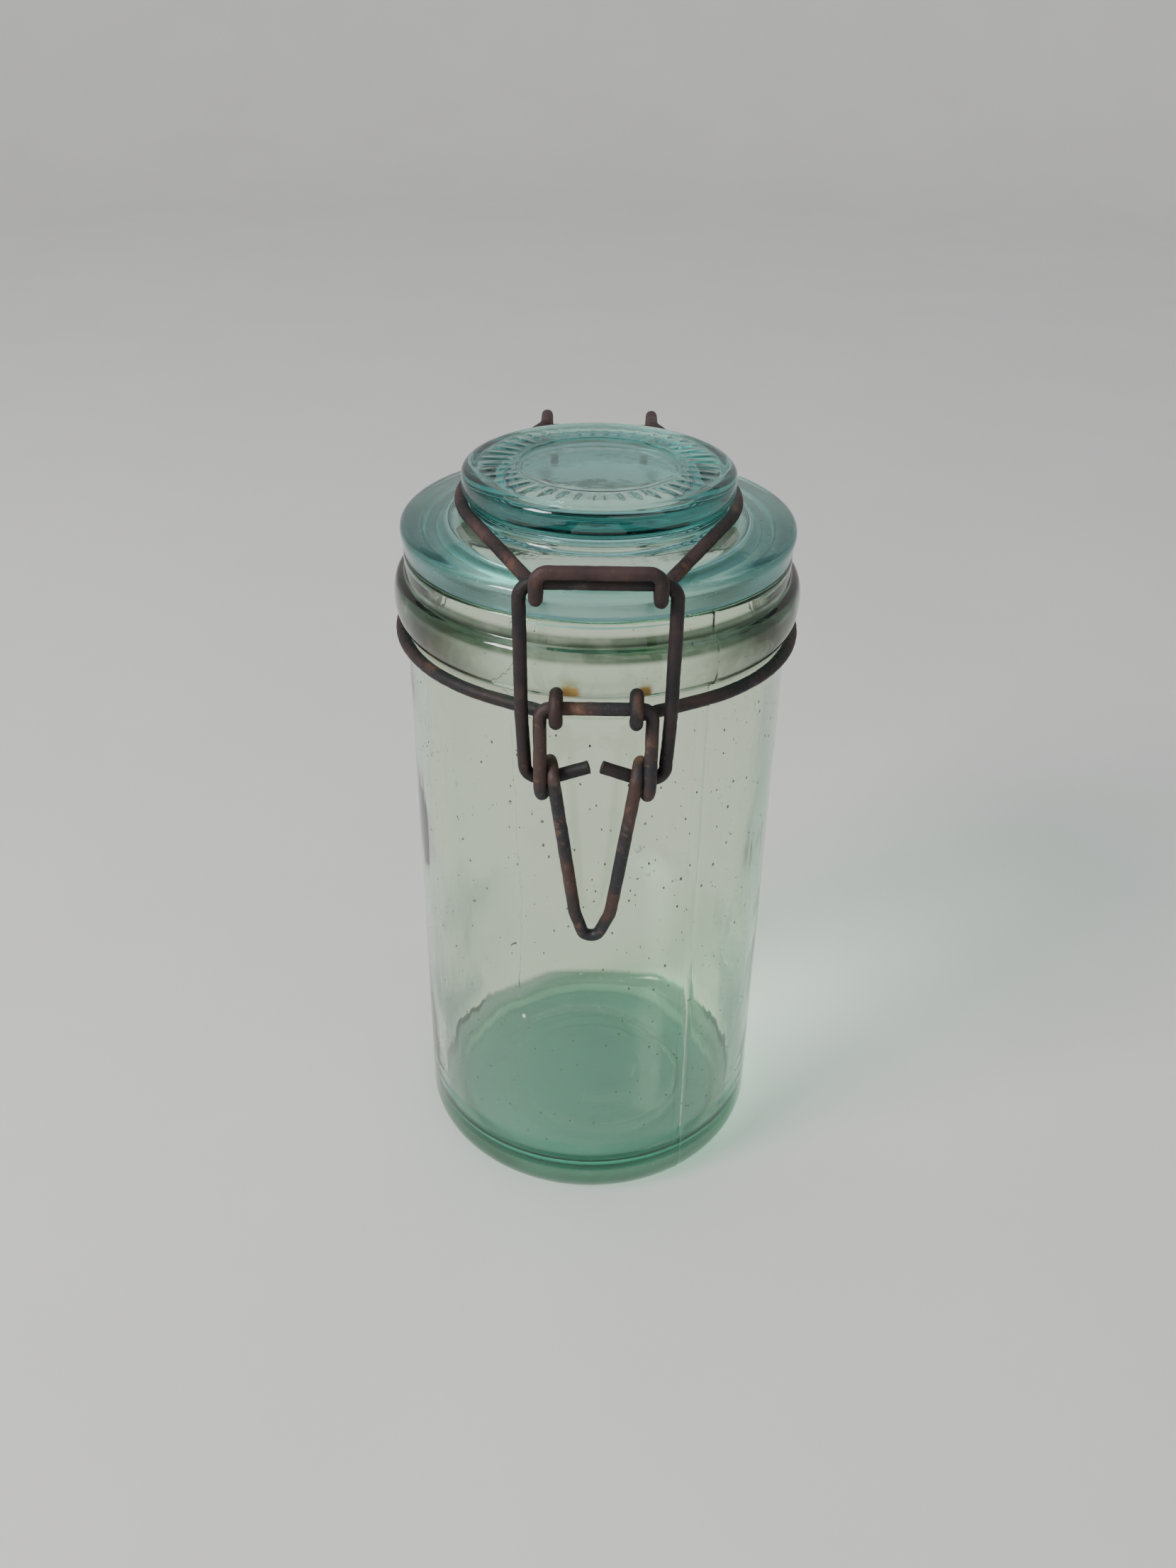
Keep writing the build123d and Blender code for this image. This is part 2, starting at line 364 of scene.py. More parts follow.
def wall_tint(g, settings, tint):
    """The outer skin: pale, with a dark band of painted shade in front, a soft painted shade low
    on the sides and painted light along the bottom edge.
    """
    x, y, z, radius = g.polar()
    outside = g.step(radius, 0.0442, 0.0450)
    front = g.step(y * -1.0, -0.004, 0.024)
    # Painted shade: the band is tinted on the front half only; on the real jar it is the thick
    # foot seen through the wall.
    band = outside * front * g.between(z, 0.0108, 0.0120, 0.0170, 0.0179)
    # Painted light: the bottom edge is tinted pale where light comes through the heel.
    rim = g.step(radius, 0.0375, 0.0400) * (1 - g.step(z, 0.0024, 0.0034)) * 0.7
    tint = g.blend(outside, tint, settings.thin)
    tint = g.blend(rim, tint, settings.thin)
    tint = g.blend(band, tint, settings.band)
    # Painted shade: the sides are darkened with the heavy tint, low on the wall, where they are
    # seen through more glass.
    side_shade = g.step(g.noise(44.0, 3.0, 0.5, g.stretched(1.0, 1.0, 0.5)), 0.42, 0.60)
    low = g.between(z, 0.012, 0.022, 0.050, 0.080)
    side = g.step(x.absolute(), 0.026, 0.042)
    return g.blend(side_shade * low * side * 0.55, tint, settings.heavy)


def neck_tint(g, settings, tint):
    """Patches of old film on the collar's sides, which also paint the shade there, and painted
    shade in the crease under the lip.
    """
    x, _, z, _ = g.polar()
    # The film patches sit on the collar's left and right sides only and also paint the shade
    # those sides show.
    patches = g.step(g.noise(48.0, 4.0, 0.6), 0.28, 0.54)
    side = g.step(x.absolute(), 0.015, 0.038)
    neck = g.between(z, 0.158, 0.163, 0.1690, 0.1735)
    tint = g.blend((patches * side * neck).clamp(), tint, settings.film)
    # Painted shade: the dark crease under the lip.
    crease_shade = g.between(z, 0.1696, 0.1710, 0.1738, 0.1750)
    return g.blend(crease_shade * (0.70 + patches * 0.30), tint, settings.crease_shade)


def lid_tint(g, settings):
    """A heavy disc and flange with a thin pale shoulder between them."""
    _, _, z, radius = g.polar()
    heavy = g.step(z, 0.1905, 0.1930) + g.step(radius, 0.0355, 0.0410)
    return g.blend(heavy.clamp(), settings.thin, settings.heavy)


def jar_seat(g):
    """The worn ring that the jar stands on."""
    return 1 - g.step(g.axis("Z"), 0.0006, 0.0030)


def lid_seat(g):
    """The hazy rim and seat under the lid."""
    _, _, z, radius = g.polar()
    return g.step(radius, 0.0350, 0.0370) * (1 - g.step(z, 0.1800, 0.1815))


def stain_mask(g, settings):
    """Rust run-off beside the latch eyes and a thin brown speckle round the neck."""
    x, y, z, _ = g.polar()
    blotch = g.noise(380.0, 4.0, 0.65)
    front = g.step(y * -1.0, 0.040, 0.046)
    eyes = 0.0
    for middle, reach in EYE_STAINS:
        near = 1 - g.step((x - middle).absolute(), 0.0004, reach)
        height = 1 - g.step((z - EYE_STAIN_Z).absolute(), 0.0003, 0.0024)
        eyes = near * height * g.step(blotch, 0.26, 0.44) * 1.6 + eyes
    band = g.between(z, 0.1585, 0.1610, 0.1660, 0.1750)
    film_noise = g.step(g.noise(55.0, 5.0, 0.7), 0.46, 0.78)
    speckle = g.step(g.noise(600.0, 3.0, 0.6), 0.54, 0.68)
    film = band * film_noise * (0.25 + speckle * 0.75) * settings.neck_film
    return (eyes * front * settings.eye_stain + film).clamp()


def rusty_wire(name, settings):
    """Dark oxidised iron with rust blooms, pits and worn, faintly shiny high spots."""
    g = Graph(name)
    cloud = g.noise(75.0, 4.0, 0.55)
    grain = g.noise(900.0, 4.0, 0.6)
    bloom = g.step(g.noise(110.0, 5.0, 0.66), settings.bloom_from, settings.bloom_from + 0.16)
    spots = g.step(g.noise(620.0, 3.0, 0.55), 0.60, 0.68)
    worn = g.step(g.noise(130.0, 3.0, 0.55), 0.60, 0.76)
    base = g.blend(g.step(cloud, 0.40, 0.60), settings.dark, settings.brown)
    base = g.blend(bloom * (0.25 + grain * 0.7), base, settings.rust)
    base = g.blend(spots * 0.25, base, settings.rust)
    base = g.blend(worn * 0.45, base, settings.bare)
    rough = 0.50 + grain * 0.22 + bloom * 0.26 - worn * 0.12
    height = grain * 0.55 + cloud * 0.5 + bloom * 0.5 - spots * 0.35
    surface = g.node(
        "ShaderNodeBsdfPrincipled",
        {},
        {
            "Base Color": base,
            "Roughness": rough.clamp(),
            "Metallic": (0.35 - bloom * 0.35 + worn * 0.3).clamp(),
            "Normal": g.bump(height, 0.55, 0.00022),
        },
    )
    return g.finish(surface)


def seed_specks(name):
    """Tiny air seeds, which old glass shows as dark specks; their dark colour is painted shade.
    """
    g = Graph(name)
    skin = g.node(
        # Painted shade: the seeds are dark and opaque, where real ones are clear bubbles.
        "ShaderNodeBsdfPrincipled", {}, {"Base Color": (0.13, 0.15, 0.11, 1.0), "Roughness": 0.3}
    )
    return g.finish(skin)


def blister_glass(name):
    """A larger bubble that shows mostly as a bright, bent patch; its pale colour is a painted
    highlight.
    """
    g = Graph(name)
    skin = g.node(
        "ShaderNodeBsdfPrincipled",
        {},
        {
            # Painted highlight: the near-white colour stands in for the light the bubble throws
            # back.
            "Base Color": (0.92, 0.95, 0.90, 1.0),
            "Roughness": 0.12,
            "IOR": 1.6,
            "Transmission Weight": 0.3,
        },
    )
    return g.finish(g.clear_to_lamps(skin, (1.0, 1.0, 1.0)))


def matte_stage(name, colour, shade):
    """A plain matt finish with faint clouds of a slightly darker shade."""
    g = Graph(name)
    cloud = g.noise(9.0, 3.0)
    tint = g.blend(g.step(cloud, 0.3, 0.7), colour, [c * shade for c in colour])
    surface = g.node(
        "ShaderNodeBsdfPrincipled", {}, {"Base Color": tint, "Roughness": 0.55}
    )
    return g.finish(surface)


# --- Glass shapes: an outline in (radius, height), turned about Z -----------------------
class Outline:
    """A closed profile drawn in millimetres, sampled about as finely as it bends."""

    def __init__(self, r, z):
        self.points = [(r, z)]

    def line(self, r, z, spacing=2.5):
        r0, z0 = self.points[-1]
        count = max(1, round(math.hypot(r - r0, z - z0) / spacing))
        for i in range(1, count + 1):
            self.points.append((r0 + (r - r0) * i / count, z0 + (z - z0) * i / count))
        return self

    def curve(self, first, second, end, count=12):
        """A cubic stretch that leaves towards first and arrives from second."""
        start = self.points[-1]
        for i in range(1, count + 1):
            t = i / count
            u = 1 - t
            weights = (u**3, 3 * u * u * t, 3 * u * t * t, t**3)
            corners = (start, first, second, end)
            self.points.append(
                tuple(sum(w * c[axis] for w, c in zip(weights, corners)) for axis in (0, 1))
            )
        return self

    def round(self, corner, end, count=8):
        """A quarter turn past a corner point to end."""
        start = self.points[-1]
        pull = 0.5523
        first = tuple(s + (c - s) * pull for s, c in zip(start, corner))
        second = tuple(e + (c - e) * pull for e, c in zip(end, corner))
        return self.curve(first, second, end, count)


def turn_angles(count, seams=(), half_width=1.0):
    """Evenly spaced angles, with a tight group of extra ones across each mould seam."""
    angles = [360.0 * i / count for i in range(count)]
    for seam in seams:
        near = [seam % 360 + half_width * s for s in (-1.0, -0.55, -0.2, 0.0, 0.2, 0.55, 1.0)]
        angles = [a for a in angles if abs((a - seam + 180) % 360 - 180) > half_width * 1.3]
        angles += [a % 360 for a in near]
    return sorted(angles)


def turned(name, points, angles, shape):
    """Turn an outline about Z; shape(r, z, angle, index) gives each point's own place."""
    vertices, faces, rings = [], [], []
    for index, (r, z) in enumerate(points):
        if r <= 1e-6:
            vertices.append((0.0, 0.0, z * MM))
            rings.append([len(vertices) - 1])
            continue
        ring = []
        for angle in angles:
            a = math.radians(angle)
            rr, zz = shape(r, z, a, index)
            vertices.append((rr * math.cos(a) * MM, rr * math.sin(a) * MM, zz * MM))
            ring.append(len(vertices) - 1)
        rings.append(ring)
    for lower, upper in zip(rings, rings[1:]):
        for i in range(len(angles)):
            j = (i + 1) % len(angles)
            if len(lower) == 1:
                faces.append((lower[0], upper[j], upper[i]))
            elif len(upper) == 1:
                faces.append((lower[i], lower[j], upper[0]))
            else:
                faces.append((lower[i], lower[j], upper[j], upper[i]))
    mesh = bpy.data.meshes.new(name)
    mesh.from_pydata(vertices, [], faces)
    mesh.polygons.foreach_set("use_smooth", [True] * len(mesh.polygons))
    mesh.update()
    return place(name, mesh)


def blister_mesh(name, blisters):
    """Egg-shaped bubbles in the wall: angle and height of each, then its half sizes."""
    bm = bmesh.new()
    for angle, z, half_width, half_depth, half_height in blisters:
        middle = (BODY_R + BORE_R) / 2 * MM
        turn = Matrix.Rotation(math.radians(angle), 4, "Z")
        shift = Matrix.Translation((middle, 0, z * MM))
        scale = Matrix.Diagonal((half_depth * MM, half_width * MM, half_height * MM, 1))
        bmesh.ops.create_icosphere(bm, subdivisions=3, radius=1.0, matrix=turn @ shift @ scale)
    mesh = bpy.data.meshes.new(name)
    bm.to_mesh(mesh)
    bm.free()
    mesh.polygons.foreach_set("use_smooth", [True] * len(mesh.polygons))
    return mesh


def place(name, data):
    """A new object at the origin for a mesh, a curve, a lamp or a camera."""
    piece = bpy.data.objects.new(name, data)
    bpy.context.scene.collection.objects.link(piece)
    return piece


def dress(piece, material, body, slot, *nodes):
    """Give a finished piece its material and its body, and hide its CAD node; slot is not used.
    """
    piece.data.materials.clear()
    piece.data.materials.append(material)
    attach(piece, body)
    if nodes:
        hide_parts(*nodes)
    return piece


def bell(distance, width):
    """A smooth ridge: 1 at its middle and 0 past its width."""
    t = min(1.0, abs(distance) / width)
    return (1 - t * t) ** 2


def jar_outline():
    """The jar's profile from the foot up the outside and down the bore, and where it turns."""
    top_groove = GROOVE_Z + 1.8
    low_groove = GROOVE_Z - 1.8
    o = Outline(0, 1.7)
    o.line(24, 1.5, 1.5).curve((28, 1.4), (30, 0.1), (34, 0), 10)
    o.line(BODY_R - HEEL_R, 0, 1.5).round((BODY_R, 0), (BODY_R, HEEL_R), 16)
    o.line(BODY_R, low_groove - 1.2, 1.6)
    o.curve((BODY_R, low_groove - 0.6), (GROOVE_R, low_groove - 0.6), (GROOVE_R, low_groove), 5)
    o.line(GROOVE_R, top_groove, 1.0)
    o.curve((GROOVE_R, top_groove + 0.9), (47.7, 161.0), (48.5, 161.7), 6)
    o.curve((49.5, 163.0), (COLLAR_R, 165.2), (COLLAR_R, 167.6), 9)
    o.curve((COLLAR_R, 170.2), (49.6, 172.0), (48.6, 172.6), 8)
    o.curve((47.8, 173.0), (LIP_R, 173.0), (LIP_R, 173.9), 5)
    o.line(LIP_R, LIP_Z - 0.9, 1.2).round((LIP_R, LIP_Z), (LIP_R - 0.9, LIP_Z), 5)
    outer_end = len(o.points)
    o.line(MOUTH_R + 0.9, LIP_Z, 1.2).round((MOUTH_R, LIP_Z), (MOUTH_R, LIP_Z - 0.9), 5)
    o.line(MOUTH_R, 171.3, 1.2)
    o.curve((MOUTH_R, 165.0), (BORE_R, 158.0), (BORE_R, 150.2), 12)
    o.line(BORE_R, BASE_T + BORE_HEEL_R, 1.8)
    o.round((BORE_R, BASE_T), (BORE_R - BORE_HEEL_R, BASE_T), 10)
    o.line(0, BASE_T, 0.8)
    return o.points, outer_end


def lid_outline():
    """The lid's profile from the hollow under the knob, round the flange, to the dish."""
    o = Outline(0, 191.0)
    o.line(19, 191.0, 2.0).round((24, 191), (24, 186), 8)
    o.curve((24, 184.4), (30.5, 184.2), (35, 183.2), 8)
    o.curve((36.6, 182.7), (37, 180.4), (37, 178.3), 6)
    o.line(37.4, 175.8, 1.0).round((37.5, 175.1), (38.2, 175.1), 3)
    o.line(40.2, 175.1, 1.0).round((40.75, 175.1), (40.8, 175.8), 3)
    o.line(41.3, 178.8, 1.0).round((41.4, LID_Z), (42.0, LID_Z), 3)
    o.line(46.6, LID_Z, 1.2).round((47.2, LID_Z), (47.25, 179.9), 4)
    o.curve((47.5, 181.8), (47.85, 183.0), (47.85, 184.0), 7)
    o.curve((47.85, 185.6), (46.6, 186.0), (44.7, 186.25), 9)
    o.curve((41.5, 186.8), (36.5, 187.7), (33.0, 188.2), 12)
    o.curve((31.6, 188.5), (31.2, 189.2), (31.2, 190.2), 6)
    o.curve((31.2, 191.6), (31.4, 192.5), (32.2, 192.7), 6)
    o.curve((32.7, 192.85), (DISC_R, 193.1), (DISC_R, 193.8), 4)
    o.line(DISC_R, DISC_Z - 2.6, 1.0)
    o.curve((DISC_R, DISC_Z - 0.7), (DISC_R - 1.6, DISC_Z), (DISC_R - 3.6, DISC_Z), 9)
    o.line(DISH_R + 2.2, DISC_Z, 0.55)
    o.curve((DISH_R + 1.0, DISC_Z), (DISH_R + 0.6, 198.45), (DISH_R - 0.6, 198.45), 7)
    o.line(0, 198.45, 1.8)
    return o.points


def as_drawn(r, z, a, index):
    """A skin that leaves the outline alone."""
    return r, z


def bore_skin(r, z, a):
    """The uneven bore, and a floor with the open ring scars of its mould."""
    around = Vector((math.cos(a) * 2.2, math.sin(a) * 2.2, z / 26.0))
    wave = noise.noise(around + Vector((5, 1, 3)))
    ripple = noise.noise(Vector((math.cos(a) * 7, math.sin(a) * 7, z / 60.0)))
    middle = bell(z - WALL_MIDDLE_Z, 74) if r > 30 else 0.0
    r += (wave * 0.42 + ripple * 0.05) * middle
    if z < BASE_T + 1:
        x, y = r * math.cos(a), r * math.sin(a)
        z += 0.3 * noise.noise(Vector((x, y, 0)) / 16) * bell(r, 39)
        scar = math.hypot(x - SCAR_X, y - SCAR_Y) - SCAR_R
        open_side = 0.5 - 0.5 * math.cos(a - 2.4)
        z += (0.30 * bell(scar, 1.5) + 0.22 * bell(scar + 11, 1.3)) * open_side
    return r, z


def outer_skin(r, z, a):
    """The outside, a little slack between foot and neck, with its mould seams and ridges."""
    if z > 1:
        around = Vector((math.cos(a) * 2.2, math.sin(a) * 2.2, z / 26.0))
        slack = bell(z - WALL_MIDDLE_Z, 78)
        r -= 0.10 * slack * (1 + noise.noise(around * 1.4))
        for seam in SEAMS:
            off = (math.degrees(a) - seam + 180) % 360 - 180
            r += 0.30 * bell(off, 0.5) * (0.5 + 0.5 * bell(z - 168, 60))
        for height, rise, half_width in RIDGES:
            r += rise * bell(z - height, half_width)
    return min(r, COLLAR_R), z


def lid_skin(r, z, a, index):
    """The knob's ring of raised bars, a slightly uneven rim and a wavy underside."""
    if z > 196 and DISC_RIB_IN - 1 < r < DISC_RIB_OUT + 1:
        middle = (DISC_RIB_IN + DISC_RIB_OUT) / 2
        along = bell(r - middle, (DISC_RIB_OUT - DISC_RIB_IN) / 2) ** 0.25
        turn = (math.degrees(a) * DISC_RIBS / 360) % 1 - 0.5
        z += -DISC_RIB_RISE + DISC_RIB_RISE * along * bell(turn, 0.36)
    if r > 33:
        r += 0.10 * noise.noise(Vector((math.cos(a) * 3, math.sin(a) * 3, z / 5)))
    if z < 185 and r < 36:
        around = Vector((math.cos(a) * 2, math.sin(a) * 2, r / 9))
        z += 0.3 * noise.noise(around) * bell(r - 17, 17)
    return min(r, LID_BOX[1].x / MM), min(z, DISC_Z)


# --- Wire shapes ------------------------------------------------------------------------
def mirrored(corners):
    """The other half of a route, from its far end back."""
    return [(-x, y, z, bend) for x, y, z, bend in reversed(corners)]


def coil(centre_y, centre_z, radius, start, turn, start_x, end_x, bends):
    """Corners of a wire wound about an X axis; angles in degrees, 0 is +Y and 90 is +Z."""
    step = turn / bends
    reach = radius / math.cos(math.radians(step / 2))
    corners = []
    for i in range(bends):
        share = (i + 0.5) / bends
        angle = math.radians(start + turn * share)
        x = start_x + (end_x - start_x) * share
        y = centre_y + reach * math.cos(angle)
        z = centre_z + reach * math.sin(angle)
        corners.append((x, y, z, radius * COIL_SLACK))
    return corners


def tangent_point(corner_x, corner_y, radius):
    """Where a line through the corner touches the circle about Z, on the wide side."""
    bearing = math.atan2(corner_x, abs(corner_y))
    angle = bearing + math.acos(radius / math.hypot(corner_x, corner_y))
    return radius * math.sin(angle), math.copysign(radius * math.cos(angle), corner_y)


def bent(corners, spacing=0.45):
    """Points along straight runs joined by tangent arcs, in millimetres."""
    places = [Vector(c[:3]) for c in corners]
    points = [places[0]]
    for i in range(1, len(places) - 1):
        here, radius = places[i], corners[i][3]
        back = (places[i - 1] - here).normalized()
        on = (places[i + 1] - here).normalized()
        half = back.angle(on) / 2
        inset = radius / math.tan(half)
        centre = here + (back + on).normalized() * (radius / math.sin(half))
        first = here + back * inset - centre
        sweep = math.pi - 2 * half
        axis = back.cross(on)
        if axis.length < 1e-9:
            continue
        count = max(3, round(radius * sweep / spacing))
        axis = -axis.normalized()
        for j in range(count + 1):
            points.append(centre + Matrix.Rotation(sweep * j / count, 3, axis) @ first)
    points.append(places[-1])
    return spaced(points, spacing)


def ring_arc(start, end, z, spacing=0.45):
    """Points round the neck between two places, by way of the side that start is on."""
    a = math.atan2(start[1], start[0])
    b = math.atan2(end[1], end[0])
    if a < -math.pi / 2 or b < -math.pi / 2:
        a, b = a % (2 * math.pi), b % (2 * math.pi)
    radius = math.hypot(*start[:2])
    count = max(8, round(abs(b - a) * radius / spacing))
    angles = [a + (b - a) * i / count for i in range(count + 1)]
    return [Vector((radius * math.cos(angle), radius * math.sin(angle), z)) for angle in angles]


def spaced(points, spacing):
    """The same line with its long straight runs cut into even steps."""
    out = [points[0]]
    for here in points[1:]:
        gap = (here - out[-1]).length
        if gap < 1e-4:
            continue
        count = max(1, round(gap / (spacing * 2)))
        start = out[-1]
        out += [start.lerp(here, (i + 1) / count) for i in range(count)]
    return out


def ring_route():
    """One eye, half the neck, the rear uprights and hinge bar, the other half, the other eye."""
    front_x, front_y = tangent_point(EYE_X, PIVOT_Y + EYE_R, RING_R)
    rear_x, rear_y = tangent_point(UPRIGHT_X, UPRIGHT_Y, RING_R)
    front_eye = [
        (front_x, front_y, GROOVE_Z, 0),
        (EYE_X, PIVOT_Y + EYE_R, GROOVE_Z, EYE_BEND),
        *coil(PIVOT_Y, PIVOT_Z, EYE_R, 0, 270, EYE_X, EYE_X, 4),
        (EYE_X, PIVOT_Y + 0.6, PIVOT_Z - EYE_R, 0),
    ]
    side = [
        (rear_x, rear_y, GROOVE_Z, 0),
        (UPRIGHT_X, UPRIGHT_Y, GROOVE_Z, UPRIGHT_BEND),
        (HINGE_HALF, HINGE_Y, HINGE_Z, HINGE_BEND),
    ]
    left = [(-x, y, z, b) for x, y, z, b in side]
    points = bent(mirrored(front_eye))
    points += ring_arc((-front_x, front_y), (-rear_x, rear_y), GROOVE_Z)[1:]
    points += bent([*left, *reversed(side)])[1:]
    points += ring_arc((rear_x, rear_y), (front_x, front_y), GROOVE_Z)[1:]
    return points + bent(front_eye)[1:]


def lever_route():
    """Half the pivot bar, an arm, a coil and the V handle, then the same mirrored."""
    lean = math.asin(COIL_R / math.hypot(COIL_Y - PIVOT_Y, COIL_Z - PIVOT_Z))
    lean += math.atan2(PIVOT_Y - COIL_Y, PIVOT_Z - COIL_Z)
    handle_lean = math.atan2(HANDLE_Y - COIL_Y + COIL_R, COIL_Z - HANDLE_Z)
    knee_y = HANDLE_Y - (HANDLE_KNEE_Z - HANDLE_Z) * math.tan(handle_lean)
    start = 180 - math.degrees(lean)
    turn = 360 + math.degrees(lean + handle_lean)
    side = [
        (LEVER_BUTT, PIVOT_Y, PIVOT_Z, 0),
        (LEVER_HALF, PIVOT_Y, PIVOT_Z, LEVER_BEND),
        *coil(COIL_Y, COIL_Z, COIL_R, start, turn, COIL_OUTER_X, COIL_INNER_X, 6),
        (HANDLE_KNEE_X, knee_y, HANDLE_KNEE_Z, HANDLE_KNEE_BEND),
    ]
    foot = [(HANDLE_X, HANDLE_Y, HANDLE_Z, HANDLE_BEND)]
    return bent([*side, *foot, *mirrored(side)])


def link_route():
    """A turned-in pin, a leg and the top bar, then the same mirrored."""
    knee_y = COIL_Y + (LINK_Y - COIL_Y) * (LINK_KNEE_Z - COIL_Z) / (LINK_Z - COIL_Z)
    side = [
        (STUB_END_X, COIL_Y, COIL_Z + (STUB_BEND_X - STUB_END_X) * STUB_RISE, 0),
        (STUB_BEND_X, COIL_Y, COIL_Z, STUB_BEND),
        (LINK_HALF_FOOT, COIL_Y, COIL_Z, LINK_FOOT_BEND),
        (LINK_KNEE_X, knee_y, LINK_KNEE_Z, LINK_KNEE_BEND),
        (LINK_HALF_TOP, LINK_Y, LINK_Z, LINK_TOP_BEND),
    ]
    return bent([*side, *mirrored(side)])


def bail_route():
    """A rear eye, the sweep round the knob, a hook and the lip bar, then the same mirrored."""
    side = [
        (LID_EYE_X, HINGE_Y - LID_EYE_R, HINGE_Z + 0.6, 0),
        *reversed(coil(HINGE_Y, HINGE_Z, LID_EYE_R, 90, -270, LID_EYE_X, LID_EYE_X, 4)),
        (LID_EYE_X, LID_EYE_ENTRY_Y, HINGE_Z + LID_EYE_R, LID_EYE_ENTRY_BEND),
        (BAIL_CORNER_X, 0, BAIL_Z, BAIL_R),
        (HOOK_X, HOOK_Y, HOOK_ENTRY_Z, HOOK_ENTRY_BEND),
        (HOOK_X, LIP_BAR_Y, HOOK_Z, HOOK_BEND),
        (HOOK_X, LIP_BAR_Y, LIP_BAR_Z, LIP_BAR_BEND),
    ]
    return bent([*side, *mirrored(side)])


# --- Geometry Nodes ---------------------------------------------------------------------
PIT_SCALE = 700.0


class Shape:
    """A Geometry Nodes tree with named inputs, built in order."""

    def __init__(self, name, inputs):
        self.tree = bpy.data.node_groups.new(name, "GeometryNodeTree")
        face = self.tree.interface
        face.new_socket("Geometry", in_out="INPUT", socket_type="NodeSocketGeometry")
        for label, (kind, value) in inputs.items():
            made = face.new_socket(label, in_out="INPUT", socket_type="NodeSocket" + kind)
            if value is not None:
                made.default_value = value
        face.new_socket("Geometry", in_out="OUTPUT", socket_type="NodeSocketGeometry")
        self.start = self.tree.nodes.new("NodeGroupInput")
        self.end = self.tree.nodes.new("NodeGroupOutput")

    def given(self, label):
        return self.start.outputs[label]

    def add(self, kind, settings, inputs, output=0):
        made = self.tree.nodes.new(kind)
        for key, value in settings.items():
            setattr(made, key, value)
        for key, value in inputs.items():
            if isinstance(value, bpy.types.NodeSocket):
                self.tree.links.new(value, made.inputs[key])
            else:
                made.inputs[key].default_value = value
        return made.outputs[output]

    def maths(self, operation, first, second):
        return self.add("ShaderNodeMath", {"operation": operation}, {0: first, 1: second})

    def close(self, geometry, material):
        real = self.add("GeometryNodeRealizeInstances", {}, {"Geometry": geometry})
        done = self.add(
            "GeometryNodeSetMaterial", {}, {"Geometry": real, "Material": material}
        )
        self.tree.links.new(done, self.end.inputs[0])
        return self.tree


def wire_tree():
    """Turns a drawn line into round wire with a rust-pitted skin, never fatter than drawn."""
    s = Shape(
        "Pitted wire",
        {
            "Wire Radius": ("Float", WIRE_R * MM),
            "Sides": ("Int", 28),
            "Pit Depth": ("Float", 0.00012),
            "Pit Scale": ("Float", PIT_SCALE),
            "Lump Scale": ("Float", 130.0),
            "Material": ("Material", None),
        },
    )
    section = s.add(
        "GeometryNodeCurvePrimitiveCircle",
        {},
        {"Resolution": s.given("Sides"), "Radius": s.given("Wire Radius")},
    )
    tube = s.add(
        "GeometryNodeCurveToMesh",
        {},
        {"Curve": s.given("Geometry"), "Profile Curve": section, "Fill Caps": True},
    )
    pits = s.add("ShaderNodeTexNoise", {}, {"Scale": s.given("Pit Scale"), "Detail": 3.0})
    lumps = s.add("ShaderNodeTexNoise", {}, {"Scale": s.given("Lump Scale"), "Detail": 2.0})
    holes = s.maths("MAXIMUM", s.maths("SUBTRACT", pits, 0.5), 0.0)
    dents = s.maths("MAXIMUM", s.maths("SUBTRACT", lumps, 0.42), 0.0)
    hollow = s.maths("ADD", s.maths("MULTIPLY", holes, 3.0), dents)
    depth = s.maths("MULTIPLY", hollow, s.given("Pit Depth"))
    normal = s.add("GeometryNodeInputNormal", {}, {})
    inward = s.maths("MULTIPLY", depth, -1.0)
    offset = s.add("ShaderNodeVectorMath", {"operation": "SCALE"}, {0: normal, "Scale": inward})
    skin = s.add("GeometryNodeSetPosition", {}, {"Geometry": tube, "Offset": offset})
    smooth = s.add("GeometryNodeSetShadeSmooth", {}, {"Geometry": skin, "Shade Smooth": True})
    return s.close(smooth, s.given("Material"))


def seed_tree():
    """Scatters small stretched air seeds over a hidden sheet in the middle of the glass."""
    s = Shape(
        "Air seeds",
        {
            "Density": ("Float", 4000.0),
            "Smallest": ("Float", 0.00010),
            "Largest": ("Float", 0.00034),
            "Stretch": ("Float", 1.5),
            "Seed": ("Int", 3),
            "Material": ("Material", None),
        },
    )
    spots = s.add(
        "GeometryNodeDistributePointsOnFaces",
        {"distribute_method": "RANDOM"},
        {"Mesh": s.given("Geometry"), "Density": s.given("Density"), "Seed": s.given("Seed")},
    )
    ball = s.add("GeometryNodeMeshIcoSphere", {}, {"Radius": 1.0, "Subdivisions": 2})
    size = s.add(
        "FunctionNodeRandomValue",
        {"data_type": "FLOAT"},
        {2: s.given("Smallest"), 3: s.given("Largest"), "Seed": s.given("Seed")},
        1,
    )
    tall = s.maths("MULTIPLY", size, s.given("Stretch"))
    scale = s.add("ShaderNodeCombineXYZ", {}, {"X": size, "Y": size, "Z": tall})
    seeds = s.add(
        "GeometryNodeInstanceOnPoints", {}, {"Points": spots, "Instance": ball, "Scale": scale}
    )
    real = s.add("GeometryNodeRealizeInstances", {}, {"Geometry": seeds})
    smooth = s.add("GeometryNodeSetShadeSmooth", {}, {"Geometry": real, "Shade Smooth": True})
    return s.close(smooth, s.given("Material"))


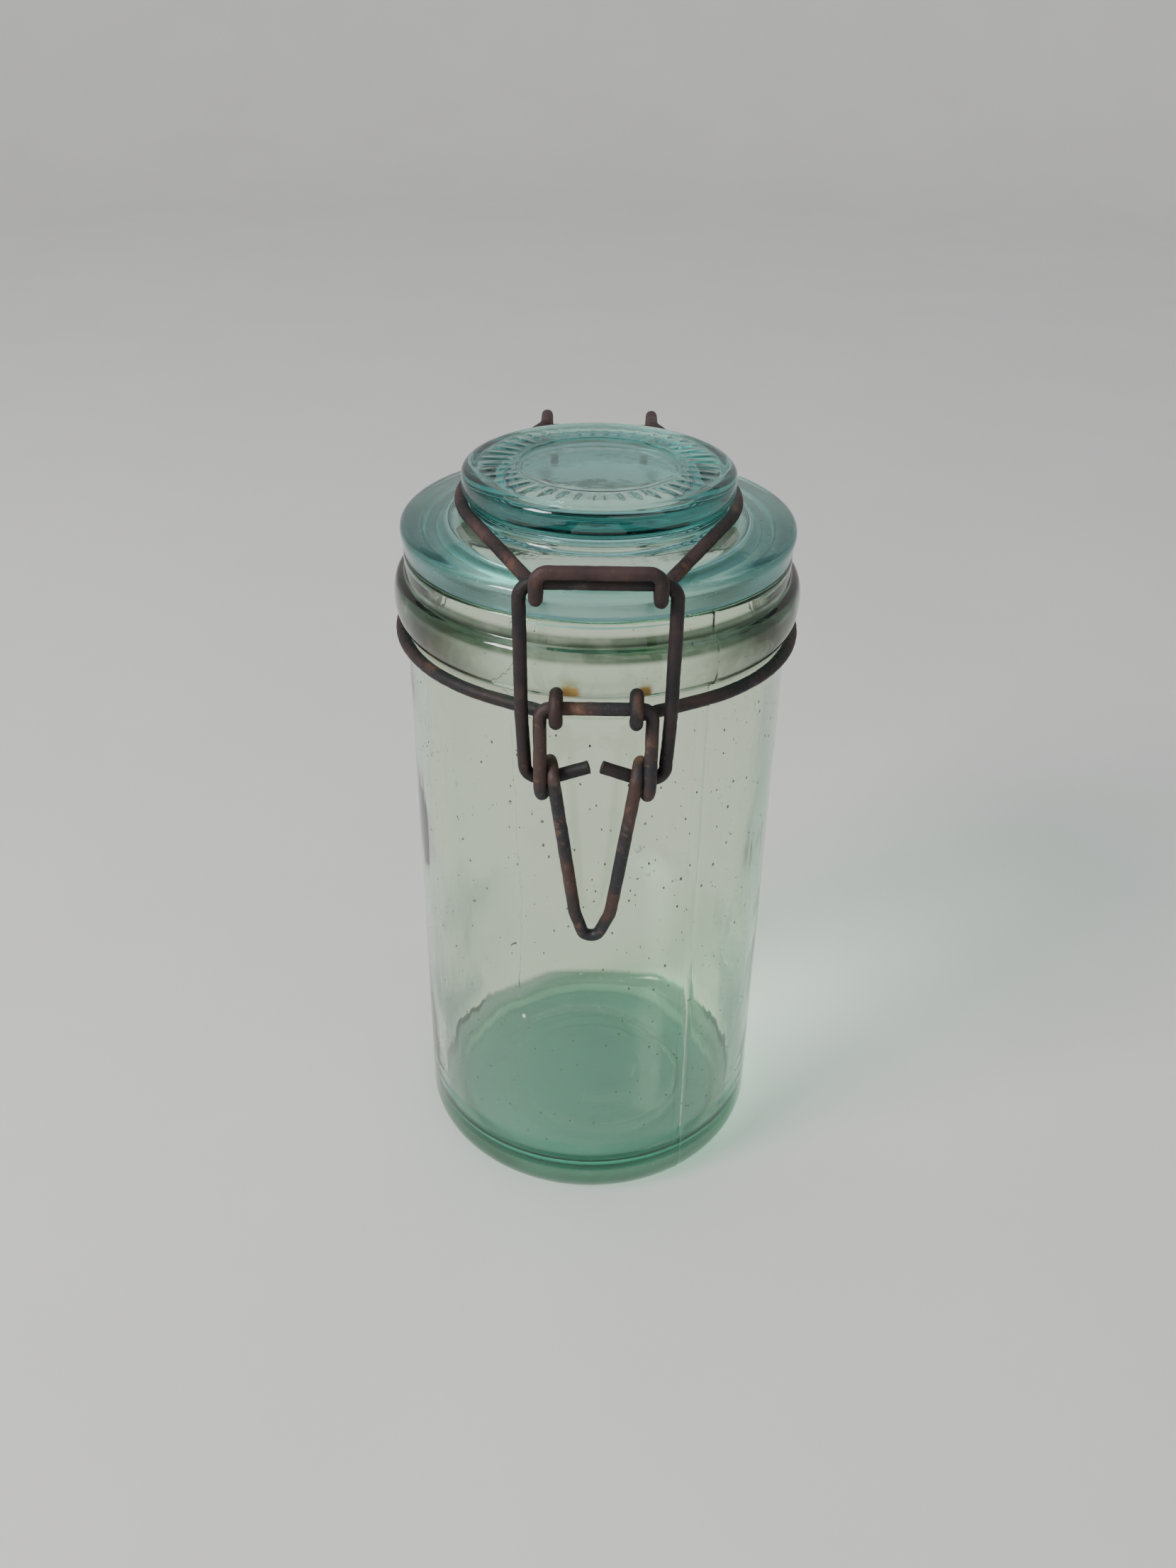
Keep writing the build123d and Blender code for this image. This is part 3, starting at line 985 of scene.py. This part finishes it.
def grown(name, source, tree, values):
    """Run a tree on an object and keep the result as a plain mesh piece."""
    modifier = source.modifiers.new("Shape", "NODES")
    modifier.node_group = tree
    sockets = {i.name: i.identifier for i in tree.interface.items_tree if i.in_out == "INPUT"}
    for label, value in values.items():
        modifier[sockets[label]] = value
    bpy.context.view_layer.update()
    evaluated = source.evaluated_get(bpy.context.evaluated_depsgraph_get())
    mesh = bpy.data.meshes.new_from_object(evaluated)
    if not mesh.polygons:
        raise RuntimeError(f"{name}: the tree made no faces")
    source.modifiers.remove(modifier)
    data = source.data
    bpy.data.objects.remove(source)
    (bpy.data.curves if isinstance(data, bpy.types.Curve) else bpy.data.meshes).remove(data)
    mesh.name = name
    return place(name, mesh)


def drawn_line(points):
    """A poly curve object through points given in millimetres."""
    curve = bpy.data.curves.new("wire_line", "CURVE")
    curve.dimensions = "3D"
    spline = curve.splines.new("POLY")
    spline.points.add(len(points) - 1)
    for target, point in zip(spline.points, points):
        target.co = (*(point * MM), 1.0)
    return place("wire_line", curve)


def make_wire(node, slot, points, body, seed):
    """One bent wire in place of a CAD node; its slot also names its finish."""
    finish = getattr(settings(), slot)
    name = node + "_wire"
    material = rusty_wire(name + "_iron", finish)
    values = {
        "Wire Radius": WIRE_R * MM,
        "Pit Depth": finish.pit_depth * MM,
        "Pit Scale": PIT_SCALE + seed,
        "Material": material,
    }
    piece = grown(name, drawn_line(points), wire_tree(), values)
    return dress(piece, material, body, slot, node)


# --- Settings a user would change -------------------------------------------------------
def colour_setting(name, description, default):
    """A colour that the user can pick."""
    return bpy.props.FloatVectorProperty(
        name=name, description=description, subtype="COLOR", default=default, min=0, max=1
    )


def amount(name, description, default):
    """A number that the user can set, never below 0."""
    return bpy.props.FloatProperty(name=name, description=description, default=default, min=0)


class GlassSettings(bpy.types.PropertyGroup):
    """Finish of one glass piece."""

    depth_colour: colour_setting(
        "Depth colour", "What a long way through the glass leaves of white", (0.06, 0.69, 0.42)
    )
    depth_density: amount("Depth", "How fast the glass colours, per metre", 32.0)
    thin: colour_setting("Thin", "Tint of the thin walls", (0.975, 0.96, 0.87))
    heavy: colour_setting("Heavy", "Tint of the heavy parts", (0.29, 0.43, 0.44))
    heel: colour_setting("Heel", "Tint of the rounded heel", (0.08, 0.18, 0.155))
    # The band is painted shade on the front of the jar, low on the wall.
    band: colour_setting("Band", "Tint of the band above the foot", (0.016, 0.35, 0.26))
    # Painted shade in the crease under the lip.
    crease_shade: colour_setting("Crease", "Tint of the crease under the lip", (0.035, 0.060, 0.035))
    # Old film and painted shade on the collar's sides.
    film: colour_setting("Film", "Tint of the old film on the neck", (0.075, 0.072, 0.048))
    blur: amount("Blur", "Roughness of the clear surface", 0.012)
    wave: amount("Waviness", "How uneven the pressed surface is", 1.0)
    haze: amount("Haze", "Extra roughness of cloudy patches", 0.03)
    eye_stain: amount("Rust run-off", "Strength of the stains by the eyes", 1.0)
    neck_film: amount("Neck film", "Strength of the brown film round the neck", 0.3)


class WireSettings(bpy.types.PropertyGroup):
    """Finish of one bent wire."""

    dark: colour_setting("Dark iron", "Colour of the black oxide", (0.018, 0.016, 0.018))
    brown: colour_setting("Brown iron", "Colour of the aged brown skin", (0.040, 0.022, 0.020))
    rust: colour_setting("Rust", "Colour of the rust blooms", (0.120, 0.052, 0.028))
    bare: colour_setting("Worn", "Colour of rubbed high spots", (0.11, 0.085, 0.075))
    bloom_from: amount("Bloom", "Where rust starts; lower gives more", 0.56)
    pit_depth: amount("Pit depth", "Depth of the pits in millimetres", 0.20)


class JarSettings(bpy.types.PropertyGroup):
    """All settings of the jar."""

    jar_glass: bpy.props.PointerProperty(type=GlassSettings, name="Jar glass")
    lid_glass: bpy.props.PointerProperty(type=GlassSettings, name="Lid glass")
    ring_wire: bpy.props.PointerProperty(type=WireSettings, name="Neck ring")
    bail_wire: bpy.props.PointerProperty(type=WireSettings, name="Bail")
    link_wire: bpy.props.PointerProperty(type=WireSettings, name="Link")
    lever_wire: bpy.props.PointerProperty(type=WireSettings, name="Lever")
    window_power: amount("Window", "Power that all the lamps share, in watts", 18.5)


def settings():
    """The jar's own settings in the open scene."""
    return bpy.context.scene.clamp_jar


# --- Operators --------------------------------------------------------------------------
class JAR_OT_body(bpy.types.Operator):
    """Turn the jar's glass with its seams, collar and uneven bore"""

    bl_idname = "clamp_jar.body"
    bl_label = "Jar"

    def execute(self, context):
        points, outer_end = jar_outline()

        def skin(r, z, a, index):
            return bore_skin(r, z, a) if index >= outer_end else outer_skin(r, z, a)

        piece = turned("jar_glass", points, turn_angles(256, SEAMS, 0.6), skin)
        glass = settings().jar_glass
        material = old_glass("Aqua glass", glass, jar_tint, jar_seat, JAR_SHADE, True)
        dress(piece, material, JAR_BODY, "jar_glass", "jar")
        return {"FINISHED"}


class JAR_OT_lid(bpy.types.Operator):
    """Turn the heavy glass lid with its knob, dish and ring of raised bars"""

    bl_idname = "clamp_jar.lid"
    bl_label = "Lid"

    def execute(self, context):
        piece = turned("lid_glass", lid_outline(), turn_angles(400), lid_skin)
        glass = settings().lid_glass
        material = old_glass("Lid glass", glass, lid_tint, lid_seat, LID_SHADE, False)
        dress(piece, material, LID_BODY, "lid_glass", "lid")
        return {"FINISHED"}


class JAR_OT_seeds(bpy.types.Operator):
    """Scatter air seeds in the walls of the jar and the lid"""

    bl_idname = "clamp_jar.seeds"
    bl_label = "Air seeds"

    def execute(self, context):
        tree = seed_tree()
        material = seed_specks("Air seed")
        middle = (BODY_R + BORE_R) / 2
        wall = Outline(middle, 20).line(middle, 150, 10).points
        # Name, sheet, seeds per square metre, smallest and largest in millimetres, seed.
        sheets = (
            ("jar_seeds", wall, 13000.0, 0.13, 0.34, 4, JAR_BODY, "jar_glass"),
            ("lid_seeds", [(4, 195), (29, 195)], 9000.0, 0.08, 0.17, 9, LID_BODY, "lid_glass"),
        )
        for name, points, density, small, large, seed, body, slot in sheets:
            sheet = turned("sheet", points, turn_angles(48), as_drawn)
            values = {
                "Density": density,
                "Smallest": small * MM,
                "Largest": large * MM,
                "Seed": seed,
                "Material": material,
            }
            dress(grown(name, sheet, tree, values), material, body, slot)
        # Angle and height, then half the width, depth and height.
        blisters = (
            (-76.7, 119.0, 0.95, 0.55, 1.15),
            (-73.0, 111.0, 0.40, 0.35, 0.55),
            (-112.0, 64.0, 0.45, 0.35, 0.70),
            (158.0, 98.0, 0.80, 0.50, 1.20),
            (41.0, 71.0, 0.60, 0.45, 0.95),
        )
        piece = place("jar_blisters", blister_mesh("jar_blisters", blisters))
        dress(piece, blister_glass("Blister"), JAR_BODY, "jar_glass")
        return {"FINISHED"}


class JAR_OT_neck_ring(bpy.types.Operator):
    """Bend the wire that clamps the neck, with its eyes and hinge bar"""

    bl_idname = "clamp_jar.neck_ring"
    bl_label = "Neck ring"

    def execute(self, context):
        make_wire("neck_ring", "ring_wire", ring_route(), JAR_BODY, 11)
        return {"FINISHED"}


class JAR_OT_bail(bpy.types.Operator):
    """Bend the wire that holds the lid"""

    bl_idname = "clamp_jar.bail"
    bl_label = "Bail"

    def execute(self, context):
        make_wire("bail", "bail_wire", bail_route(), LID_BODY, 23)
        return {"FINISHED"}


class JAR_OT_link(bpy.types.Operator):
    """Bend the link that the lever pulls down"""

    bl_idname = "clamp_jar.link"
    bl_label = "Link"

    def execute(self, context):
        make_wire("link", "link_wire", link_route(), LINK_BODY, 37)
        return {"FINISHED"}


class JAR_OT_lever(bpy.types.Operator):
    """Bend the latch lever with its coils and V handle"""

    bl_idname = "clamp_jar.lever"
    bl_label = "Lever"

    def execute(self, context):
        make_wire("lever", "lever_wire", lever_route(), LEVER_BODY, 53)
        return {"FINISHED"}


class JAR_OT_stage(bpy.types.Operator):
    """Set out the floor, backdrop, lights and camera"""

    bl_idname = "clamp_jar.stage"
    bl_label = "Stage"

    def execute(self, context):
        make_stage()
        make_lights()
        make_camera()
        return {"FINISHED"}


# --- Stage ------------------------------------------------------------------------------
# The camera's turns are in degrees, its places and its lens in millimetres.
CAMERA_TILT = 31.916
CAMERA_ROLL = 0.885
CAMERA_X, CAMERA_AIM_Z, CAMERA_RANGE = -1.55, 109.05, 375.05
CAMERA_LENS = 31.8
# The floor is in metres; its drop under the jar, which keeps their faces apart, is not.
FLOOR_R = 2.2
FLOOR_BEND = 0.6
WALL_TOP = 1.5
FLOOR_DROP = 0.3
BEND_STEPS = 12
# Name, place and aim in metres, size, share of the window's power, colour.
LIGHTS = (
    ("window", (-1.1, -0.75, 1.15), (0, 0, 0.1), (0.5, 0.6), 1.5, (1.0, 0.99, 0.97)),
    ("room", (0.9, -1.3, 1.3), (0, 0, 0.1), (1.4, 1.0), 0.30, (1, 0.98, 0.95)),
    ("sky", (0.1, 0.7, 2.3), (0, 0.7, 0), (2.6, 2.6), 0.9, (0.97, 0.98, 1.0)),
)


def make_stage():
    """A pale round floor that turns up into a low plain wall, well clear on every side."""
    flat_r = FLOOR_R - FLOOR_BEND
    section = [(0.0, 0.0), (0.4, 0.0), (0.9, 0.0), (flat_r, 0.0)]
    for i in range(1, BEND_STEPS + 1):
        a = math.radians(90 * i / BEND_STEPS)
        reach = flat_r + FLOOR_BEND * math.sin(a)
        section.append((reach, FLOOR_BEND * (1 - math.cos(a))))
    section.append((FLOOR_R, WALL_TOP))
    points = [(r / MM, z / MM) for r, z in section]
    floor = turned("floor", points, turn_angles(96), lambda r, z, a, i: (r, z - FLOOR_DROP))
    floor.data.flip_normals()
    floor.data.materials.append(matte_stage("Pale floor", (0.74, 0.73, 0.72), 0.97))


def area_light(name, place_at, target, size, power, colour):
    """A soft rectangular lamp that looks at a target."""
    data = bpy.data.lights.new(name, "AREA")
    data.shape = "RECTANGLE"
    data.size, data.size_y = size
    data.energy = power
    data.color = colour
    lamp = place(name, data)
    aim = Vector(target) - Vector(place_at)
    turn = aim.to_track_quat("-Z", "Y").to_matrix().to_4x4()
    lamp.matrix_world = Matrix.Translation(place_at) @ turn


def make_lights():
    """A window from the left, a dim room in front, an even sky above and a pale world."""
    for name, place_at, target, size, share, colour in LIGHTS:
        area_light(name, place_at, target, size, settings().window_power * share, colour)
    world = bpy.data.worlds.new("Soft room")
    world.use_nodes = True
    back = world.node_tree.nodes["Background"]
    back.inputs["Color"].default_value = (0.93, 0.95, 1.0, 1.0)
    back.inputs["Strength"].default_value = 0.22
    bpy.context.scene.world = world


def make_camera():
    """A camera that looks down at the jar, very slightly rolled."""
    tilt, roll = math.radians(CAMERA_TILT), math.radians(CAMERA_ROLL)
    look = Vector((0, math.cos(tilt), -math.sin(tilt)))
    right = Vector((1, 0, 0))
    up = right.cross(look)
    right, up = (
        math.cos(roll) * right + math.sin(roll) * up,
        -math.sin(roll) * right + math.cos(roll) * up,
    )
    eye = Vector((CAMERA_X, 0, CAMERA_AIM_Z)) * MM - look * CAMERA_RANGE * MM
    data = bpy.data.cameras.new("camera")
    data.lens = CAMERA_LENS
    data.clip_start = 0.01
    camera = place("camera", data)
    turn = Matrix((right, up, -look)).transposed().to_4x4()
    camera.matrix_world = Matrix.Translation(eye) @ turn
    bpy.context.scene.camera = camera


# --- Add-on -----------------------------------------------------------------------------
class JAR_PT_panel(bpy.types.Panel):
    """Lists the jar's pieces in the sidebar"""

    bl_label = "Glass jar"
    bl_idname = "JAR_PT_panel"
    bl_space_type = "VIEW_3D"
    bl_region_type = "UI"
    bl_category = "Glass jar"

    def draw(self, context):
        for step in STEPS:
            self.layout.operator(step.bl_idname)
        self.layout.prop(settings(), "window_power")


STEPS = (
    JAR_OT_body,
    JAR_OT_lid,
    JAR_OT_seeds,
    JAR_OT_neck_ring,
    JAR_OT_bail,
    JAR_OT_link,
    JAR_OT_lever,
    JAR_OT_stage,
)
CLASSES = (GlassSettings, WireSettings, JarSettings, *STEPS, JAR_PT_panel)


def register():
    for item in CLASSES:
        bpy.utils.register_class(item)
    bpy.types.Scene.clamp_jar = bpy.props.PointerProperty(type=JarSettings)


def unregister():
    del bpy.types.Scene.clamp_jar
    for item in reversed(CLASSES):
        bpy.utils.unregister_class(item)


def tune():
    """The jar's own finishes where they differ from the defaults."""
    own = settings()
    own.lid_glass.depth_density = 40.0
    own.lid_glass.depth_colour = (0.04, 0.62, 0.58)
    own.lid_glass.thin = (1.0, 1.0, 0.96)
    own.lid_glass.heavy = (0.56, 0.83, 0.86)
    own.lid_glass.blur = 0.05
    own.lid_glass.haze = 0.08
    own.bail_wire.dark = (0.024, 0.016, 0.016)
    own.bail_wire.brown = (0.058, 0.032, 0.031)
    own.link_wire.dark = (0.013, 0.013, 0.015)
    own.link_wire.brown = (0.030, 0.020, 0.020)
    own.link_wire.bloom_from = 0.60
    own.lever_wire.dark = (0.024, 0.024, 0.028)
    own.lever_wire.brown = (0.066, 0.037, 0.030)
    own.lever_wire.rust = (0.215, 0.115, 0.068)
    own.lever_wire.bare = (0.21, 0.165, 0.14)
    own.lever_wire.bloom_from = 0.54


def main():
    register()
    tune()
    for step in STEPS:
        group, name = step.bl_idname.split(".")
        getattr(getattr(bpy.ops, group), name)()


if __name__ == "__main__":
    main()
